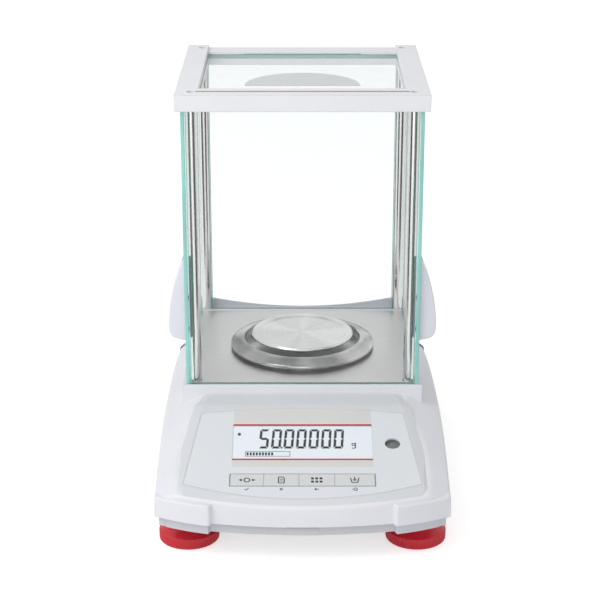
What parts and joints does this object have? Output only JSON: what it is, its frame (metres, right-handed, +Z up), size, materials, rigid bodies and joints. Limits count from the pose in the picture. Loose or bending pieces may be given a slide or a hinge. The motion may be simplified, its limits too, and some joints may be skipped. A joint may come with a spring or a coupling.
{
  "type": "analytical balance",
  "caption": "Analytical balance with a glass draft shield, sliding doors and top pane, round pan with draft ring, sloped keypad display and levelling feet.",
  "frame": {"origin": "centre of the footprint on the table, under the base", "axes": "+Z up, +Y towards the rear, +X to the user's right"},
  "size_m": [0.209, 0.321, 0.309],
  "materials": {
    "white_plastic": "fine texture",
    "console_plastic": "fine texture",
    "keypad_film": "satin printed film",
    "keys": "satin",
    "display_window": "clear",
    "lcd": "backlit",
    "tray_paint": "satin",
    "floor_steel": "brushed front to back",
    "post_steel": "polished",
    "pan_steel": "turned satin",
    "screw_steel": "plain",
    "pane_glass": "clear, pale green edges",
    "grip_plastic": "frosted",
    "red_plastic": "satin",
    "runner_plastic": "plain",
    "level_cup": "plain",
    "level_liquid": "clear",
    "board": "solder mask",
    "black_plastic": "plain",
    "port_shell": "plated",
    "cell_aluminium": "machined",
    "magnet": "plated",
    "coil": "wound",
    "brass": "turned",
    "rubber": "plain"
  },
  "bodies": {
    "base": {"upper_housing": "white_plastic", "top_frame": "white_plastic", "lcd_holder": "white_plastic", "console_frame": "console_plastic", "keypad_film": "keypad_film", "display_window": "display_window", "lcd_panel": "lcd", "base_tray": "tray_paint", "floor_plate": "floor_steel", "front_post_left": "post_steel", "front_post_right": "post_steel", "rear_post_left": "post_steel", "rear_post_right": "post_steel", "pan_spindle": "pan_steel", "post_base_screws": "screw_steel", "frame_screws": "screw_steel", "base_screws": "screw_steel", "front_glass": "pane_glass", "rear_glass": "pane_glass", "accent_strip": "red_plastic", "level_cup": "level_cup", "level_vial": "level_liquid", "display_board": "board", "main_board": "board", "key_switches": "black_plastic", "power_inlet": "black_plastic", "serial_port": "port_shell", "usb_port": "port_shell", "weigh_cell": "cell_aluminium", "cell_magnet": "magnet", "cell_lever": "coil", "foot_inserts": "brass", "rear_feet": "rubber"},
    "left_door": {"left_door_glass": "pane_glass", "left_door_hanger": "runner_plastic", "left_handle": "white_plastic", "left_handle_screws": "screw_steel"},
    "right_door": {"right_door_glass": "pane_glass", "right_door_hanger": "runner_plastic", "right_handle": "white_plastic", "right_handle_screws": "screw_steel"},
    "top_door": {"top_glass": "pane_glass", "top_grip": "grip_plastic"},
    "zero_key": {"key_zero": "keys"},
    "print_key": {"key_print": "keys"},
    "mode_key": {"key_mode": "keys"},
    "tare_key": {"key_tare": "keys"},
    "ring": {"draft_ring": "pan_steel"},
    "pan": {"weighing_pan": "pan_steel"},
    "left_foot": {"left_foot_pad": "rubber"},
    "left_wheel": {"left_foot_wheel": "red_plastic", "left_foot_screw": "screw_steel"},
    "right_foot": {"right_foot_pad": "rubber"},
    "right_wheel": {"right_foot_wheel": "red_plastic", "right_foot_screw": "screw_steel"}
  },
  "joints": [
    {"name": "left_door_slide", "type": "slide", "parent": "base", "child": "left_door", "axis": [0, 1, 0], "range_m": [0, 0.13]},
    {"name": "right_door_slide", "type": "slide", "parent": "base", "child": "right_door", "axis": [0, 1, 0], "range_m": [0, 0.13]},
    {"name": "top_door_slide", "type": "slide", "parent": "base", "child": "top_door", "axis": [0, 1, 0], "range_m": [0, 0.118]},
    {"name": "zero_key_press", "type": "slide", "parent": "base", "child": "zero_key", "axis": [0, 0.3074, -0.9516], "range_m": [0, 0.0005], "stiffness_N_per_m": 1000},
    {"name": "print_key_press", "type": "slide", "parent": "base", "child": "print_key", "axis": [0, 0.3074, -0.9516], "range_m": [0, 0.0005], "stiffness_N_per_m": 1000},
    {"name": "mode_key_press", "type": "slide", "parent": "base", "child": "mode_key", "axis": [0, 0.3074, -0.9516], "range_m": [0, 0.0005], "stiffness_N_per_m": 1000},
    {"name": "tare_key_press", "type": "slide", "parent": "base", "child": "tare_key", "axis": [0, 0.3074, -0.9516], "range_m": [0, 0.0005], "stiffness_N_per_m": 1000},
    {"name": "draft_ring_lift", "type": "slide", "parent": "base", "child": "ring", "axis": [0, 0, 1], "range_m": [0, 0.05]},
    {"name": "pan_lift", "type": "slide", "parent": "base", "child": "pan", "axis": [0, 0, 1], "range_m": [0, 0.06]},
    {"name": "left_foot_lift", "type": "slide", "parent": "base", "child": "left_foot", "axis": [0, 0, -1], "range_m": [0, 0.008]},
    {"name": "left_foot_turn", "type": "hinge", "parent": "left_foot", "child": "left_wheel", "pos_m": [-0.082, -0.1155, 0], "axis": [0, 0, -1], "range_deg": [0, 2300]},
    {"name": "right_foot_lift", "type": "slide", "parent": "base", "child": "right_foot", "axis": [0, 0, -1], "range_m": [0, 0.008]},
    {"name": "right_foot_turn", "type": "hinge", "parent": "right_foot", "child": "right_wheel", "pos_m": [0.082, -0.1155, 0], "axis": [0, 0, -1], "range_deg": [0, 2300]}
  ],
  "couplings": [
    {"joint": "left_foot_lift", "follows": "left_foot_turn", "m_per_rad": 0.00019894},
    {"joint": "right_foot_lift", "follows": "right_foot_turn", "m_per_rad": 0.00019894}
  ]
}
